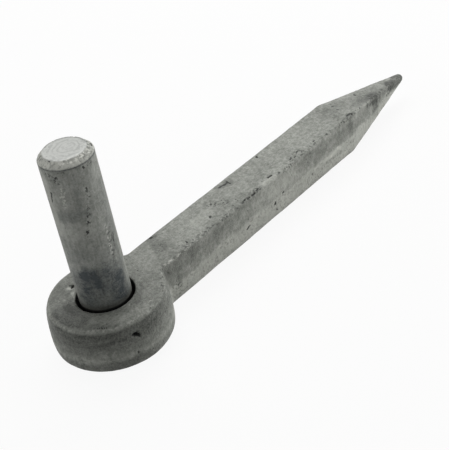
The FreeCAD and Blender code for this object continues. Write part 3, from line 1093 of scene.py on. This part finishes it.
def pin_extra(tree, colour, roughness):
    """The pin's paler top, partly a painted reflection, a painted highlight line round its edge, white
    painted glints beside it and a dark olive band of painted shade at its foot.
    """
    place = place_on(tree)
    scuffs = cloud(tree, place, *SCUFF_NOISE)
    crown = attribute(tree, "crown")
    line = times(tree, rim_line(tree, place, scuffs), crown)
    glints = times(tree, attribute(tree, "glints"), step(tree, scuffs, *GLINT_SCUFFS))
    # The paler top is partly its cut face and partly a painted reflection.
    colour = mix(tree, times(tree, crown, TOP_SHARE), colour, pin_top(tree, place, scuffs))
    # Painted highlight: the thin line round the top's edge.
    colour = mix(tree, times(tree, line, RIM_LINE_SHARE), colour, RIM_LINE_TONE)
    colour = mix(tree, times(tree, glints, GLINT_SHARE), colour, GLINT_TONE)
    colour = mix(tree, times(tree, attribute(tree, "olive"), OLIVE_SHARE), colour, OLIVE_TONE)
    return colour, minus(tree, roughness, times(tree, crown, TOP_SHEEN))


def forging_zinc():
    return zinc_material(
        "galvanised_forging",
        pale=(0.37, 0.38, 0.345, 1),
        dark=(0.15, 0.158, 0.14, 1),
        dull=(0.05, 0.053, 0.046, 1),
        patch_scale=70.0,
        stretch=(0.6, 1, 0.3),
        specks_scale=420.0,
        edge_share=0.4,
        bump=1.0,
    )


def pin_zinc():
    return zinc_material(
        "galvanised_pin",
        pale=(0.34, 0.35, 0.322, 1),
        dark=(0.145, 0.152, 0.138, 1),
        dull=(0.045, 0.053, 0.056, 1),
        patch_scale=90.0,
        stretch=(1, 1, 0.12),
        specks_scale=520.0,
        edge_share=0.8,
        bump=0.6,
        extra=pin_extra,
    )


def weld_zinc():
    return zinc_material(
        "galvanised_weld",
        pale=(0.36, 0.37, 0.34, 1),
        dark=(0.16, 0.167, 0.152, 1),
        dull=(0.05, 0.053, 0.048, 1),
        patch_scale=160.0,
        stretch=EVEN,
        specks_scale=520.0,
        edge_share=0.4,
        bump=0.6,
    )


def shown_rays(tree):
    """1 for rays that show the background: the camera's, and those in reflections or through glass."""
    rays = put(tree, "ShaderNodeLightPath", {}).outputs
    either = maths(tree, "MAXIMUM", rays["Is Camera Ray"], rays["Is Glossy Ray"])
    return maths(tree, "MAXIMUM", either, rays["Is Transmission Ray"])


# The studio: the floor's half width in metres, its tone, how much of it glows, and the even light.
FLOOR_HALF = 3.0
FLOOR_TONE = (0.8, 0.8, 0.79, 1)
FLOOR_GLOW = 0.92
AMBIENT = 0.09
# Lamps: place in metres, width in metres and power in watts. All face the middle of the shank.
LAMPS = {
    "behind_above": ((0.30, 0.36, 0.75), 0.60, 4.2),
    "behind_right": ((0.75, 0.20, 0.50), 0.50, 2.3),
    "low_right": ((0.60, -0.50, 0.10), 0.40, 3.9),
    "left_side": ((-0.62, 0.25, 0.40), 0.50, 1.7),
}
LAMP_TARGET = Vector((0.07, 0, 0))


def make_floor():
    """A pale studio floor. It is white to the camera and in reflections, and keeps part of the shadow."""
    height = cad_box[0].z
    sides = ((-1, -1), (1, -1), (1, 1), (-1, 1))
    corners = [(FLOOR_HALF * across, FLOOR_HALF * back, height) for across, back in sides]
    mesh = bpy.data.meshes.new("studio_floor")
    mesh.from_pydata(corners, [], [tuple(range(len(corners)))])
    floor = bpy.data.objects.new("studio_floor", mesh)
    bpy.context.scene.collection.objects.link(floor)
    material, tree = start_material("pale_floor")
    diffuse = put(tree, "ShaderNodeBsdfDiffuse", {"Color": FLOOR_TONE}).outputs["BSDF"]
    glow = put(tree, "ShaderNodeEmission", {"Color": WHITE, "Strength": 1.0}).outputs["Emission"]
    seen = put(tree, "ShaderNodeMixShader", {0: FLOOR_GLOW, 1: diffuse, 2: glow}).outputs["Shader"]
    shown = put(tree, "ShaderNodeMixShader", {0: shown_rays(tree), 1: diffuse, 2: seen}).outputs["Shader"]
    put(tree, "ShaderNodeOutputMaterial", {"Surface": shown})
    mesh.materials.append(material)


def make_world():
    """A soft even light on the object, with a white background."""
    world = bpy.data.worlds.new("studio")
    world.use_nodes = True
    tree = world.node_tree
    tree.nodes.clear()
    strength = plus(tree, times(tree, shown_rays(tree), 1.0 - AMBIENT), AMBIENT)
    light = put(tree, "ShaderNodeBackground", {"Color": WHITE, "Strength": strength})
    put(tree, "ShaderNodeOutputWorld", {"Surface": light.outputs["Background"]})
    bpy.context.scene.world = world


def make_lamps():
    for name, (place, width, power) in LAMPS.items():
        light = bpy.data.lights.new(name, "AREA")
        light.size = width
        light.energy = power
        lamp = bpy.data.objects.new(name, light)
        lamp.location = place
        lamp.rotation_mode = "QUATERNION"
        lamp.rotation_quaternion = (LAMP_TARGET - Vector(place)).to_track_quat("-Z", "Y")
        bpy.context.scene.collection.objects.link(lamp)


def make_camera():
    data = bpy.data.cameras.new("photo_camera")
    data.sensor_fit = "VERTICAL"
    data.sensor_height = SENSOR_HEIGHT
    data.lens = FOCAL_PIXELS * SENSOR_HEIGHT / PHOTO_HEIGHT
    data.clip_start = CLIP_START
    camera = bpy.data.objects.new("photo_camera", data)
    camera.location = CAMERA_PLACE
    camera.rotation_euler = CAMERA_TURN
    bpy.context.scene.collection.objects.link(camera)
    bpy.context.scene.camera = camera


spike = make_spike()
pin = make_pin()
weld = make_weld()
spike.data.materials.append(forging_zinc())
pin.data.materials.append(pin_zinc())
weld.data.materials.append(weld_zinc())
make_floor()
make_world()
make_lamps()
make_camera()
bpy.context.scene.view_settings.view_transform = "Standard"
